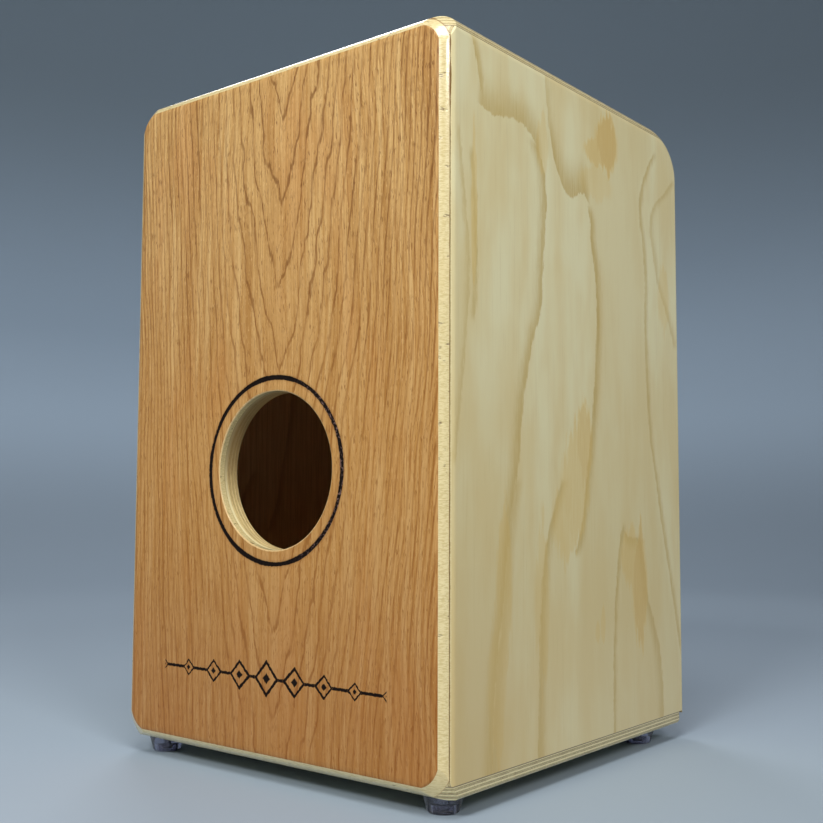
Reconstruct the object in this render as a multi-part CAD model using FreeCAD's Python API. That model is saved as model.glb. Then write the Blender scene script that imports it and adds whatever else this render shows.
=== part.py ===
import FreeCAD, Part

import math
import os

# A cajon: a box drum that the player sits on. All lengths in millimetres.
# Frame: origin on the floor under the middle of the box, +Z up, +X to the player's right,
# +Y the way the seated player faces. The playing board (tapa) faces +Y, the sound hole -Y.

Vector = FreeCAD.Vector
X_AXIS = Vector(1, 0, 0)
Y_AXIS = Vector(0, 1, 0)
Z_AXIS = Vector(0, 0, 1)

# ---------------------------------------------------------------- driving dimensions
BOX_WIDTH = 302.0
BOX_DEPTH = 317.0
BOX_HEIGHT = 480.0
FOOT_HEIGHT = 12.0
BOARD = 9.0                   # sides, seat and floor: seven-ply pine
BACK_PLY = 4.4
TAPA_PLY = 2.5
VENEER = 0.6                  # face veneer on the back and on the tapa

TOP_EDGE_RADIUS = 12.0        # long upper edges
THIGH_RADIUS = 38.0           # upper front edge, under the player's thighs
FRONT_EDGE_RADIUS = 3.0
BACK_EDGE_RADIUS = 10.0       # round-over that cuts through the back veneer
FLOOR_EDGE_RADIUS = 2.5
FLOOR_FRONT_CORNER = 6.0
TAPA_LIFT = 7.5               # bare edge of the floor board below the tapa

# Each rear corner is sanded to part of a ball: the ball's centre is BALL_INSET in from the
# side and from the top or bottom, and (depth) in from the back.
BALL_INSET = 24.6
TOP_BALL_DEPTH, TOP_BALL_RADIUS = 30.0, 35.0
FLOOR_BALL_DEPTH, FLOOR_BALL_RADIUS = 40.0, 43.7

HOLE_RADIUS = 54.0
HOLE_EASED_EDGE = 0.9         # radius sanded on the outer rim of the hole
HOLE_HEIGHT = 196.6           # above the underside of the box
HOLE_OFF_CENTRE = 3.8         # the hole was cut a little to the right of the middle
HOLE_RING_RADIUS = 75.0
HOLE_RING_THICKNESS = 13.0
BURNT_RING_OUTER, BURNT_RING_WIDTH, BURNT_RING_DEPTH = 64.7, 2.8, 0.3

FRONT_BATTEN = 20.0           # square section
BACK_BATTEN = 15.0            # square section, also along the seat and the floor
BATTEN_CHAMFER = 2.0
THIGH_RAIL_DEPTH = 30.0
THIGH_RAIL_HEIGHT = 50.0

FOOT_TOP_RADIUS, FOOT_BOTTOM_RADIUS = 13.5, 10.0
FOOT_INSET_SIDE, FOOT_INSET_BACK, FOOT_INSET_FRONT = 20.0, 24.0, 41.0
FOOT_POCKET_RADIUS, FOOT_POCKET_DEPTH = 6.5, 6.0

SCREW_PITCH_TURN = 0.8        # M5 tension screw: travel of the carriage per turn
TENSION_X = 40.0              # each pair of snare strings is tuned at x = +-TENSION_X
TENSION_FROM_TAPA = 8.4       # axis of the tension screw, behind the tapa
TENSION_SCREW_RADIUS = 2.5
TENSION_SCREW_LENGTH = 60.0
RUNNING_GAP = 0.3
STRING_RADIUS = 0.5
STRING_FROM_TAPA = 0.9
STRING_LOW_SPREAD, STRING_TOP_SPREAD = 4.0, 30.0
BALL_END_RADIUS = 2.0
SLOT_WIDTH = 2.4
SLOT_DEPTH = 1.7

# ---------------------------------------------------------------- levels worked out from them
half_w = BOX_WIDTH / 2
half_d = BOX_DEPTH / 2
z_bottom = FOOT_HEIGHT
z_top = FOOT_HEIGHT + BOX_HEIGHT
z_floor = z_bottom + BOARD                  # upper face of the floor board
z_seat = z_top - BOARD                      # lower face of the seat board
x_wall = half_w - BOARD                     # inner face of a side
y_back_skin = -half_d + VENEER              # veneer to plywood, at the back
y_back = -half_d + VENEER + BACK_PLY        # inner face of the back panel
y_front_skin = half_d - VENEER              # plywood to veneer, at the front
y_front = half_d - VENEER - TAPA_PLY        # inner face of the tapa
z_tapa = z_bottom + TAPA_LIFT
z_hole = z_bottom + HOLE_HEIGHT
z_rail = z_seat - THIGH_RAIL_HEIGHT         # underside of the thigh rail
z_veneer_end = z_top - THIGH_RADIUS + 6.0   # where the thigh arc has thinned the tapa's veneer away
FAR = 1000.0

os.makedirs("parts", exist_ok=True)
written = []


def save(name, shape):
    """Write one node, after checking that it is made of valid solids."""
    solids = shape.Solids
    shape = solids[0] if len(solids) == 1 else Part.makeCompound(solids)
    shape.exportStep("parts/" + name + ".step")
    written.append(name)
    print("%-24s solids %2d valid %s volume %.0f mm3" % (name, len(solids), shape.isValid(), shape.Volume))


def block(x0, x1, y0, y1, z0, z1):
    return Part.makeBox(x1 - x0, y1 - y0, z1 - z0, Vector(x0, y0, z0))


def rod(radius, start, axis, length):
    return Part.makeCylinder(radius, length, start, axis)


def edges_where(shape, test):
    """The edges whose middle point passes the test."""
    found = []
    for edge in shape.Edges:
        middle = edge.valueAt((edge.FirstParameter + edge.LastParameter) / 2)
        if test(middle, edge):
            found.append(edge)
    return found


def near(a, b):
    return abs(a - b) < 0.01


def is_arc(edge):
    return edge.Curve.TypeId == "Part::GeomCircle"


# ---------------------------------------------------------------- outer form of the whole box
def outer_form():
    """The box as one rounded solid. Every board is a slice of it, so all outside faces run on."""
    form = block(-half_w, half_w, -half_d, half_d, z_bottom, z_top)
    form = form.makeFillet(THIGH_RADIUS, edges_where(
        form, lambda m, e: near(m.y, half_d) and near(m.z, z_top)))
    for side in (-1, 1):
        arc = edges_where(form, lambda m, e: near(m.x, side * half_w) and is_arc(e))[0]
        # the radius grows round the thigh arc, from the front edge's to the long top edge's
        form = form.makeFillet(FRONT_EDGE_RADIUS, TOP_EDGE_RADIUS, [arc])
    form = form.makeFillet(FLOOR_EDGE_RADIUS, edges_where(
        form, lambda m, e: near(m.z, z_bottom) and near(abs(m.x), half_w)))
    form = form.makeFillet(BACK_EDGE_RADIUS, edges_where(form, lambda m, e: near(m.y, -half_d)))
    for side in (-1, 1):
        form = form.cut(corner_waste(side, z_top, -1, TOP_BALL_DEPTH, TOP_BALL_RADIUS))
        form = form.cut(corner_waste(side, z_bottom, 1, FLOOR_BALL_DEPTH, FLOOR_BALL_RADIUS))
    return form


def corner_waste(side, level, inwards, depth, radius):
    """What the sander takes off one rear corner: a cube outside a ball."""
    margin = 5.0
    x_ball = side * (half_w - BALL_INSET)
    z_ball = level + inwards * BALL_INSET
    x_far = side * (half_w + margin)
    z_far = level - inwards * margin
    cube = block(min(x_ball, x_far), max(x_ball, x_far), -half_d - margin, -half_d + depth,
                 min(z_ball, z_far), max(z_ball, z_far))
    return cube.cut(Part.makeSphere(radius, Vector(x_ball, -half_d + depth, z_ball)))


outer = outer_form()


def slice_of_form(x0=-FAR, x1=FAR, y0=-FAR, y1=FAR, z0=-FAR, z1=FAR):
    return outer.common(block(x0, x1, y0, y1, z0, z1))


# ---------------------------------------------------------------- screws
def countersunk_screw(point, axis, length, radius=1.75, head_radius=3.5):
    """Wood screw. point is the middle of its flush head and axis the way it is driven."""
    head_height = head_radius - radius
    rim = 0.4
    body = rod(head_radius, point, axis, rim)
    cone = Part.makeCone(head_radius, radius, head_height, point + axis * rim, axis)
    shank = rod(radius, point, axis, length - 2 * radius)
    tip = Part.makeCone(radius, 0.3, 2 * radius, point + axis * (length - 2 * radius), axis)
    return body.fuse([cone, shank, tip]).removeSplitter()


def pan_screw(point, axis, length, radius, head_radius, head_height):
    """Wood screw. point is under its head, on the face that it clamps."""
    head = rod(head_radius, point - axis * head_height, axis, head_height)
    crown = edges_where(head, lambda m, e: near((m - point).dot(axis), -head_height))
    head = head.makeFillet(head_height * 0.6, crown)
    shank = rod(radius, point, axis, length - 2 * radius)
    tip = Part.makeCone(radius, 0.3, 2 * radius, point + axis * (length - 2 * radius), axis)
    return head.fuse([shank, tip]).removeSplitter()


def cross_recess(point, axis, size, depth):
    """Cutter for a cross-head recess. point is on the head's outer face."""
    width = size * 0.28
    across = Y_AXIS if abs(axis.z) > 0.5 else Z_AXIS
    other = axis.cross(across)
    blades = []
    for long_way, short_way in ((across, other), (other, across)):
        corner = point - long_way * (size / 2) - short_way * (width / 2) - axis * 0.5
        base = Part.makePolygon([corner, corner + long_way * size,
                                 corner + long_way * size + short_way * width,
                                 corner + short_way * width, corner])
        blades.append(Part.Face(base).extrude(axis * (depth + 0.5)))
    return blades[0].fuse(blades[1])


# ---------------------------------------------------------------- where the fasteners go
TAPA_SCREW_LENGTH = 22.0
TAPA_SCREW_ROWS = 7
x_side_screw = x_wall - 7.0
z_low_screw = z_floor + FRONT_BATTEN / 2
z_high_screw = z_rail + 14.0
tapa_screw_points = []
for row in range(TAPA_SCREW_ROWS):
    z_screw = z_low_screw + (z_high_screw - z_low_screw) * row / (TAPA_SCREW_ROWS - 1)
    tapa_screw_points += [(-x_side_screw, z_screw), (x_side_screw, z_screw)]
for x_screw in (-x_side_screw / 2, 0.0, x_side_screw / 2):
    tapa_screw_points += [(x_screw, z_low_screw), (x_screw, z_high_screw)]
tapa_screws = []
for x, z in tapa_screw_points:
    tapa_screws.append(countersunk_screw(Vector(x, half_d, z), -Y_AXIS, TAPA_SCREW_LENGTH))
tapa_screw_bodies = Part.makeCompound(tapa_screws)

foot_points = {}
for x_sign, x_name in ((-1, "left"), (1, "right")):
    for y_name, y_foot in (("rear", FOOT_INSET_BACK - half_d), ("front", half_d - FOOT_INSET_FRONT)):
        foot_points[y_name + "_" + x_name] = Vector(x_sign * (half_w - FOOT_INSET_SIDE), y_foot, 0)
FOOT_SCREW_RADIUS, FOOT_SCREW_LENGTH, FOOT_WASHER = 2.0, 22.0, 1.0
foot_screws = []
for point in foot_points.values():
    under_head = point + Z_AXIS * (FOOT_POCKET_DEPTH - FOOT_WASHER)
    foot_screws.append(pan_screw(under_head, Z_AXIS, FOOT_SCREW_LENGTH, FOOT_SCREW_RADIUS, 4.0, 2.8))
foot_screw_bodies = Part.makeCompound(foot_screws)

# ---------------------------------------------------------------- snare hardware levels
y_tension = y_front - TENSION_FROM_TAPA
y_string = y_front - STRING_FROM_TAPA
z_batten = z_floor + FRONT_BATTEN           # upper face of the lower front batten
GUIDE_SHEET = 1.5
GUIDE_HALF_LENGTH = 20.0
GUIDE_SCREW_X = 15.0
GUIDE_CHEEK_HEIGHT = 31.0
CARRIAGE_HALF_WIDTH = 7.0
CARRIAGE_HEIGHT = 10.0
z_carriage = z_batten + 9.0                 # underside, at rest
y_carriage_rear = y_tension - 7.7
y_carriage_front = y_front - RUNNING_GAP
HEAD_RADIUS, HEAD_HEIGHT = 4.25, 5.0
COUNTERBORE_RADIUS, COUNTERBORE_DEPTH = 5.5, 6.5
WASHER_THICKNESS = 1.0
SCREW_WAY_RADIUS = TENSION_SCREW_RADIUS + RUNNING_GAP
ANCHOR_PLATE = 2.0
ANCHOR_HALF_LENGTH = 85.0
ANCHOR_DEPTH = 14.0
ANCHOR_POCKET_HEIGHT, ANCHOR_POCKET_DEPTH = 6.0, 5.0
ANCHOR_SCREW_X = (-40.0, 0.0, 40.0)

guide_screws = []
for side in (-1, 1):
    for offset in (-GUIDE_SCREW_X, GUIDE_SCREW_X):
        seat = Vector(side * TENSION_X + offset, y_tension, z_batten + GUIDE_SHEET)
        guide_screws.append(pan_screw(seat, -Z_AXIS, 14.0, 1.5, 3.0, 2.0))
guide_screw_bodies = Part.makeCompound(guide_screws)

anchor_screws = []
for x in ANCHOR_SCREW_X:
    seat = Vector(x, y_front - ANCHOR_DEPTH / 2 - 2.0, z_rail - ANCHOR_PLATE)
    anchor_screws.append(pan_screw(seat, Z_AXIS, 12.0, 1.5, 3.0, 2.0))
anchor_screw_bodies = Part.makeCompound(anchor_screws)


# ---------------------------------------------------------------- the boards
def make_sides():
    """Sides, held 0.5 mm off the back panel at the outside, which leaves the dark glue line."""
    groove, groove_depth = 0.5, 2.0
    for side, name in ((-1, "left"), (1, "right")):
        x0, x1 = sorted((side * x_wall, side * FAR))
        board = slice_of_form(x0, x1, y_back, y_front, z_floor, z_seat)
        g0, g1 = sorted((side * (half_w - groove_depth), side * FAR))
        board = board.cut(block(g0, g1, y_back, y_back + groove, z_floor, z_seat))
        save("side_panel_" + name, board)


def make_seat():
    save("seat_panel", slice_of_form(y0=y_back, y1=y_front, z0=z_seat))


def make_floor():
    """Floor board with the two counterbored ways to the tension screws."""
    board = slice_of_form(y0=y_back, y1=y_front, z1=z_floor)
    front_corners = edges_where(board, lambda m, e: near(m.y, y_front) and m.z > z_bottom + 3
                                and near(abs(m.x), half_w))
    if front_corners:
        board = board.makeFillet(FLOOR_FRONT_CORNER, front_corners)
    for side in (-1, 1):
        below = Vector(side * TENSION_X, y_tension, z_bottom)
        board = board.cut(rod(SCREW_WAY_RADIUS, below, Z_AXIS, BOARD))
        board = board.cut(rod(COUNTERBORE_RADIUS, below, Z_AXIS, COUNTERBORE_DEPTH))
    save("floor_panel", board.cut(foot_screw_bodies))


def make_back():
    """Back panel, its veneer with a shallow burnt ring, and the ring that stiffens the hole."""
    hole = rod(HOLE_RADIUS, Vector(HOLE_OFF_CENTRE, -FAR, z_hole), Y_AXIS, 2 * FAR)
    faced_board = slice_of_form(y1=y_back).cut(hole)
    rim = edges_where(faced_board, lambda m, e: near(m.y, -half_d) and is_arc(e)
                      and near(e.Curve.Radius, HOLE_RADIUS))
    faced_board = faced_board.makeFillet(HOLE_EASED_EDGE, rim)
    save("back_panel", faced_board.common(block(-FAR, FAR, y_back_skin, y_back, -FAR, FAR)))
    skin = faced_board.common(block(-FAR, FAR, -FAR, y_back_skin, -FAR, FAR))
    face = Vector(HOLE_OFF_CENTRE, -half_d - 1, z_hole)
    burnt = rod(BURNT_RING_OUTER, face, Y_AXIS, 1 + BURNT_RING_DEPTH)
    burnt = burnt.cut(rod(BURNT_RING_OUTER - BURNT_RING_WIDTH, face, Y_AXIS, 2 + BURNT_RING_DEPTH))
    save("back_veneer", skin.cut(burnt))
    ring_face = Vector(HOLE_OFF_CENTRE, y_back, z_hole)
    ring = rod(HOLE_RING_RADIUS, ring_face, Y_AXIS, HOLE_RING_THICKNESS).cut(hole)
    inner_rims = edges_where(ring, lambda m, e: near(m.y, y_back + HOLE_RING_THICKNESS) and is_arc(e))
    save("sound_hole_ring", ring.makeFillet(2.0, inner_rims))


def make_tapa():
    save("tapa", slice_of_form(y0=y_front, y1=y_front_skin, z0=z_tapa).cut(tapa_screw_bodies))
    skin = slice_of_form(y0=y_front_skin, z0=z_tapa, z1=z_veneer_end)
    save("tapa_veneer", skin.cut(tapa_screw_bodies))


# ---------------------------------------------------------------- rail and battens
def chamfered(shape, test):
    return shape.makeChamfer(BATTEN_CHAMFER, edges_where(shape, test))


def make_thigh_rail():
    """Quarter-round rail between the sides, under the seat's front edge, behind the tapa."""
    rail = slice_of_form(-x_wall, x_wall, y_front - THIGH_RAIL_DEPTH, y_front, z_rail, z_seat)
    pocket = block(-ANCHOR_HALF_LENGTH, ANCHOR_HALF_LENGTH, y_front - ANCHOR_POCKET_DEPTH, y_front,
                   z_rail, z_rail + ANCHOR_POCKET_HEIGHT)
    rail = rail.cut(pocket).cut(tapa_screw_bodies).cut(anchor_screw_bodies)
    save("thigh_rail", rail)


def make_front_battens():
    y_rear = y_front - FRONT_BATTEN
    for side, name in ((-1, "left"), (1, "right")):
        x0, x1 = sorted((side * x_wall, side * (x_wall - FRONT_BATTEN)))
        batten = block(x0, x1, y_rear, y_front, z_batten, z_rail)
        inner = side * (x_wall - FRONT_BATTEN)
        batten = chamfered(batten, lambda m, e: near(m.x, inner) and near(m.y, y_rear))
        save("front_batten_" + name, batten.cut(tapa_screw_bodies))
    lower = block(-x_wall, x_wall, y_rear, y_front, z_floor, z_batten)
    lower = chamfered(lower, lambda m, e: near(m.y, y_rear) and near(m.z, z_batten))
    for side in (-1, 1):
        start = Vector(side * TENSION_X, y_tension, z_floor)
        lower = lower.cut(rod(SCREW_WAY_RADIUS, start, Z_AXIS, FRONT_BATTEN))
    lower = lower.cut(tapa_screw_bodies).cut(guide_screw_bodies)
    save("front_batten_lower", lower)


def make_back_battens():
    y_inner = y_back + BACK_BATTEN
    for side, name in ((-1, "left"), (1, "right")):
        x0, x1 = sorted((side * x_wall, side * (x_wall - BACK_BATTEN)))
        inner = side * (x_wall - BACK_BATTEN)
        batten = block(x0, x1, y_back, y_inner, z_floor, z_seat)
        batten = chamfered(batten, lambda m, e: near(m.x, inner) and near(m.y, y_inner))
        save("back_batten_" + name, batten)
    half_run = x_wall - BACK_BATTEN
    for name, z0, z1, z_inner in (("upper", z_seat - BACK_BATTEN, z_seat, z_seat - BACK_BATTEN),
                                  ("lower", z_floor, z_floor + BACK_BATTEN, z_floor + BACK_BATTEN)):
        batten = block(-half_run, half_run, y_back, y_inner, z0, z1)
        batten = chamfered(batten, lambda m, e: near(m.z, z_inner) and near(m.y, y_inner))
        save("back_batten_" + name, batten)


def make_side_battens():
    """Glue strips under the seat and on the floor, along both sides."""
    y0 = y_back + BACK_BATTEN
    runs = (("seat_batten_", z_seat - BACK_BATTEN, z_seat, y_front - THIGH_RAIL_DEPTH),
            ("floor_batten_", z_floor, z_floor + BACK_BATTEN, y_front - FRONT_BATTEN))
    for side, name in ((-1, "left"), (1, "right")):
        x0, x1 = sorted((side * x_wall, side * (x_wall - BACK_BATTEN)))
        inner = side * (x_wall - BACK_BATTEN)
        for prefix, z0, z1, y1 in runs:
            z_inner = z0 if prefix == "seat_batten_" else z1
            batten = block(x0, x1, y0, y1, z0, z1)
            batten = chamfered(batten, lambda m, e: near(m.x, inner) and near(m.z, z_inner))
            save(prefix + name, batten.cut(foot_screw_bodies))


# ---------------------------------------------------------------- fasteners and feet
def make_tapa_screws():
    finished = []
    for (x, z), screw in zip(tapa_screw_points, tapa_screws):
        finished.append(screw.cut(cross_recess(Vector(x, half_d, z), -Y_AXIS, 4.2, 1.6)))
    save("tapa_screws", Part.makeCompound(finished))


def make_feet():
    """Clear rubber bumpers: a taper with a rounded lower rim and a pocket for the screw."""
    washers = []
    heads = []
    for name, point in foot_points.items():
        foot = Part.makeCone(FOOT_BOTTOM_RADIUS, FOOT_TOP_RADIUS, FOOT_HEIGHT, point, Z_AXIS)
        foot = foot.makeFillet(2.0, edges_where(foot, lambda m, e: near(m.z, 0) and is_arc(e)))
        foot = foot.cut(rod(FOOT_POCKET_RADIUS, point, Z_AXIS, FOOT_POCKET_DEPTH))
        foot = foot.cut(rod(FOOT_SCREW_RADIUS, point, Z_AXIS, FOOT_HEIGHT))
        save("foot_" + name, foot)
        under = point + Z_AXIS * (FOOT_POCKET_DEPTH - FOOT_WASHER)
        washer = rod(6.0, under, Z_AXIS, FOOT_WASHER)
        washers.append(washer.cut(rod(FOOT_SCREW_RADIUS, under, Z_AXIS, FOOT_WASHER)))
        heads.append(cross_recess(under - Z_AXIS * 2.8, Z_AXIS, 4.4, 1.6))
    save("foot_washers", Part.makeCompound(washers))
    finished = []
    for screw, recess in zip(foot_screws, heads):
        finished.append(screw.cut(recess))
    save("foot_screws", Part.makeCompound(finished))


# ---------------------------------------------------------------- snare: guides and screws
def make_tension_hardware():
    """For each pair of strings: a guide on the lower batten, a carriage in it, and a long screw
    that turns in the floor board and draws the carriage down as it is tightened."""
    washers = []
    for side, name in ((-1, "left"), (1, "right")):
        x = side * TENSION_X
        axis_foot = Vector(x, y_tension, 0)
        cheek_in = CARRIAGE_HALF_WIDTH + RUNNING_GAP
        cheek_out = cheek_in + GUIDE_SHEET
        guide = block(x - GUIDE_HALF_LENGTH, x + GUIDE_HALF_LENGTH, y_carriage_rear, y_carriage_front,
                      z_batten, z_batten + GUIDE_SHEET)
        z_cheek = z_batten + GUIDE_CHEEK_HEIGHT
        for cheek_side in (-1, 1):
            c0, c1 = sorted((cheek_side * cheek_in, cheek_side * cheek_out))
            cheek = block(x + c0, x + c1, y_carriage_rear, y_carriage_front, z_batten, z_cheek)
            corners = edges_where(cheek, lambda m, e: near(m.z, z_cheek) and near(m.x, x + (c0 + c1) / 2))
            guide = guide.fuse(cheek.makeFillet(4.0, corners))
        guide = guide.removeSplitter()
        guide = guide.cut(rod(SCREW_WAY_RADIUS, axis_foot + Z_AXIS * z_floor, Z_AXIS, FRONT_BATTEN + 5))
        save("tension_guide_" + name, guide.cut(guide_screw_bodies))

        carriage = block(x - CARRIAGE_HALF_WIDTH, x + CARRIAGE_HALF_WIDTH, y_carriage_rear,
                         y_carriage_front, z_carriage, z_carriage + CARRIAGE_HEIGHT)
        carriage = carriage.makeChamfer(0.8, edges_where(
            carriage, lambda m, e: near(m.z, z_carriage + CARRIAGE_HEIGHT)))
        thread_radius = TENSION_SCREW_RADIUS + 0.05
        carriage = carriage.cut(rod(thread_radius, axis_foot, Z_AXIS, FAR))
        for spread in (-1, 1):
            slot_x = x + spread * (STRING_LOW_SPREAD + 0.3)
            carriage = carriage.cut(block(slot_x - SLOT_WIDTH / 2, slot_x + SLOT_WIDTH / 2,
                                          y_carriage_front - SLOT_DEPTH, FAR, 0, FAR))
        save("tension_carriage_" + name, carriage)

        z_washer = z_bottom + COUNTERBORE_DEPTH - WASHER_THICKNESS
        washer = rod(5.0, axis_foot + Z_AXIS * z_washer, Z_AXIS, WASHER_THICKNESS)
        washers.append(washer.cut(rod(SCREW_WAY_RADIUS, axis_foot, Z_AXIS, FAR)))

        head_play = 0.1
        z_head = z_washer - head_play - HEAD_HEIGHT
        screw = rod(HEAD_RADIUS, axis_foot + Z_AXIS * z_head, Z_AXIS, HEAD_HEIGHT)
        screw = screw.makeChamfer(0.4, edges_where(screw, lambda m, e: near(m.z, z_head) and is_arc(e)))
        shank = rod(TENSION_SCREW_RADIUS, axis_foot + Z_AXIS * z_head, Z_AXIS,
                    HEAD_HEIGHT + TENSION_SCREW_LENGTH)
        z_tip = z_head + HEAD_HEIGHT + TENSION_SCREW_LENGTH
        shank = shank.makeChamfer(0.6, edges_where(shank, lambda m, e: near(m.z, z_tip) and is_arc(e)))
        socket = hexagon_prism(4.0, axis_foot + Z_AXIS * (z_head - 1), 3.5)
        save("tension_screw_" + name, screw.fuse(shank).removeSplitter().cut(socket))
    save("tension_washers", Part.makeCompound(washers))


def hexagon_prism(across_flats, start, length):
    corner_radius = across_flats / math.sqrt(3)
    corners = []
    for turn in range(7):
        angle = math.radians(60 * turn)
        corners.append(start + Vector(math.cos(angle), math.sin(angle), 0) * corner_radius)
    return Part.Face(Part.makePolygon(corners)).extrude(Z_AXIS * length)


# ---------------------------------------------------------------- snare: anchor and strings
def string_ends():
    """The lower and upper end of each string, left to right."""
    z_low = z_carriage - BALL_END_RADIUS - 0.05
    z_high = z_rail + BALL_END_RADIUS + 0.05
    ends = []
    for side in (-1, 1):
        for spread in (-1, 1):
            low = Vector(side * TENSION_X + spread * STRING_LOW_SPREAD, y_string, z_low)
            high = Vector(side * TENSION_X + spread * STRING_TOP_SPREAD, y_string, z_high)
            ends.append((low, high))
    return ends


def make_anchor_plate():
    """Slotted brass strip under the thigh rail that the strings' upper ball ends hang from."""
    plate = block(-ANCHOR_HALF_LENGTH, ANCHOR_HALF_LENGTH, y_front - ANCHOR_DEPTH,
                  y_carriage_front, z_rail - ANCHOR_PLATE, z_rail)
    for low, high in string_ends():
        plate = plate.cut(block(high.x - SLOT_WIDTH / 2, high.x + SLOT_WIDTH / 2,
                                y_carriage_front - SLOT_DEPTH, FAR, 0, FAR))
    save("string_anchor", plate.cut(anchor_screw_bodies))
    save("anchor_screws", anchor_screw_bodies)
    save("guide_screws", guide_screw_bodies)


def make_strings():
    """Snare strings with a small barrel at each end."""
    barrel_rear = y_string - 2.0
    barrel_length = y_carriage_front - barrel_rear
    for number, (low, high) in enumerate(string_ends(), start=1):
        along = high - low
        string = rod(STRING_RADIUS, low, along, along.Length)
        for end in (low, high):
            string = string.fuse(rod(BALL_END_RADIUS, Vector(end.x, barrel_rear, end.z),
                                     Y_AXIS, barrel_length))
        save("snare_string_%d" % number, string.removeSplitter())


make_sides()
make_seat()
make_floor()
make_back()
make_tapa()
make_thigh_rail()
make_front_battens()
make_back_battens()
make_side_battens()
make_tapa_screws()
make_feet()
make_tension_hardware()
make_anchor_plate()
make_strings()
print(len(written), "nodes")
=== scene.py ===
import math

import bmesh
import bpy
from mathutils import Matrix, Vector


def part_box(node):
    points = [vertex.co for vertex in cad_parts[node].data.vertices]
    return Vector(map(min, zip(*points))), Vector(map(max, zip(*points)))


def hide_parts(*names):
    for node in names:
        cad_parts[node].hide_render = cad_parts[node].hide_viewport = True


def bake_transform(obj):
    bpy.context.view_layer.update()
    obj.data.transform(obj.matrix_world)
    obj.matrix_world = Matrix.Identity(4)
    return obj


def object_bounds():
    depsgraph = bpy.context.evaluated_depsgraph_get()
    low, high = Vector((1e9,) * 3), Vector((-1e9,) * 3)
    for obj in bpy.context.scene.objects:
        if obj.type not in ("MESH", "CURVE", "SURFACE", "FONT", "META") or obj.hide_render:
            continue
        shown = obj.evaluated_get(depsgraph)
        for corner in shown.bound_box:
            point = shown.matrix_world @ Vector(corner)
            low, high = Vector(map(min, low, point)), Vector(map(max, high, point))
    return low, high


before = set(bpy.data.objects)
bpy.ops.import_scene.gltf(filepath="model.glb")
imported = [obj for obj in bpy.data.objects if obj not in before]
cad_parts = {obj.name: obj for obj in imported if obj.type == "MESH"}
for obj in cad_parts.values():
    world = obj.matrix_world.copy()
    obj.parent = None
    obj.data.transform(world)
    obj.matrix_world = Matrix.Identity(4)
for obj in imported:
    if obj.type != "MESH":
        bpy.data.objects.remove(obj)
cad_low, cad_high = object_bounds()

# A cajon seen from its sound-hole side. The wood's figure, ply edges, burnt lines and lacquer are
# node materials in the row's own coordinates, in millimetres; the strings are modelled here.

# ---------------------------------------------------------------- levels read from the frame, in mm
PER_MM = 1000.0


def edges_of(node):
    """Lowest and highest corner of one CAD node, in millimetres."""
    low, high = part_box(node)
    return Vector(low) * PER_MM, Vector(high) * PER_MM


box_low, box_high = Vector(cad_low) * PER_MM, Vector(cad_high) * PER_MM
HALF_WIDTH, Y_BACK, Z_TOP = box_high.x, box_low.y, box_high.z
Z_BOTTOM = edges_of("floor_panel")[0].z
Z_FLOOR = edges_of("floor_panel")[1].z              # upper face of the floor board
X_WALL = edges_of("thigh_rail")[1].x                # inner face of a side board
Y_SEAM = edges_of("back_panel")[1].y                # joint between the back panel and the box
Y_TAPA = edges_of("tapa")[0].y                      # inner face of the tapa
Y_TAPA_SKIN = edges_of("tapa_veneer")[0].y          # joint between the tapa and its veneer
RING_LOW, RING_HIGH = edges_of("sound_hole_ring")
HOLE_X, HOLE_Z = (RING_LOW.x + RING_HIGH.x) / 2, (RING_LOW.z + RING_HIGH.z) / 2
HOLE_SHARE = 0.72             # the hole's radius, as a share of the ring's outer radius
HOLE_RADIUS = (RING_HIGH.x - RING_LOW.x) / 2 * HOLE_SHARE
BURNT_RADIUS = 63.3           # middle of the burnt ring round the hole
BOARD = HALF_WIDTH - X_WALL
PLIES = 7


def srgb(red, green, blue):
    """An 8-bit screen colour as the linear colour that shaders use."""
    linear = []
    for part in (red, green, blue):
        part /= 255
        linear.append(part / 12.92 if part <= 0.04045 else ((part + 0.055) / 1.055) ** 2.4)
    return (*linear, 1.0)


# ---------------------------------------------------------------- shader fields
class Field:
    """A shader value that can be used in formulas. Each operation adds one node."""

    def __init__(self, shade, socket):
        self.shade = shade
        self.socket = socket

    def _with(self, operation, *others):
        return self.shade.math(operation, self, *others)

    def __add__(self, other):
        return self._with("ADD", other)

    def __sub__(self, other):
        return self._with("SUBTRACT", other)

    def __rsub__(self, other):
        return self.shade.math("SUBTRACT", other, self)

    def __mul__(self, other):
        return self._with("MULTIPLY", other)

    def __truediv__(self, other):
        return self._with("DIVIDE", other)

    __radd__ = __add__
    __rmul__ = __mul__

    def abs(self):
        return self._with("ABSOLUTE")

    def sqrt(self):
        return self._with("SQRT")

    def fraction(self):
        return self._with("FRACT")

    def power(self, exponent):
        return self._with("POWER", exponent)

    def larger(self, other):
        return self._with("MAXIMUM", other)

    def smooth(self, low, high):
        """0 below low, 1 above high, and a smooth step between. low may be the larger one."""
        if low > high:
            return 1.0 - self.smooth(high, low)
        node = self.shade.node("ShaderNodeMapRange", interpolation_type="SMOOTHSTEP")
        for name, value in (("Value", self), ("From Min", low), ("From Max", high)):
            self.shade.feed(node.inputs[name], value)
        return Field(self.shade, node.outputs["Result"])

    def line(self, middle, half_width, softness):
        """1 on a line at middle, fading out past half_width."""
        return (self - middle).abs().smooth(half_width + softness, half_width)


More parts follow.
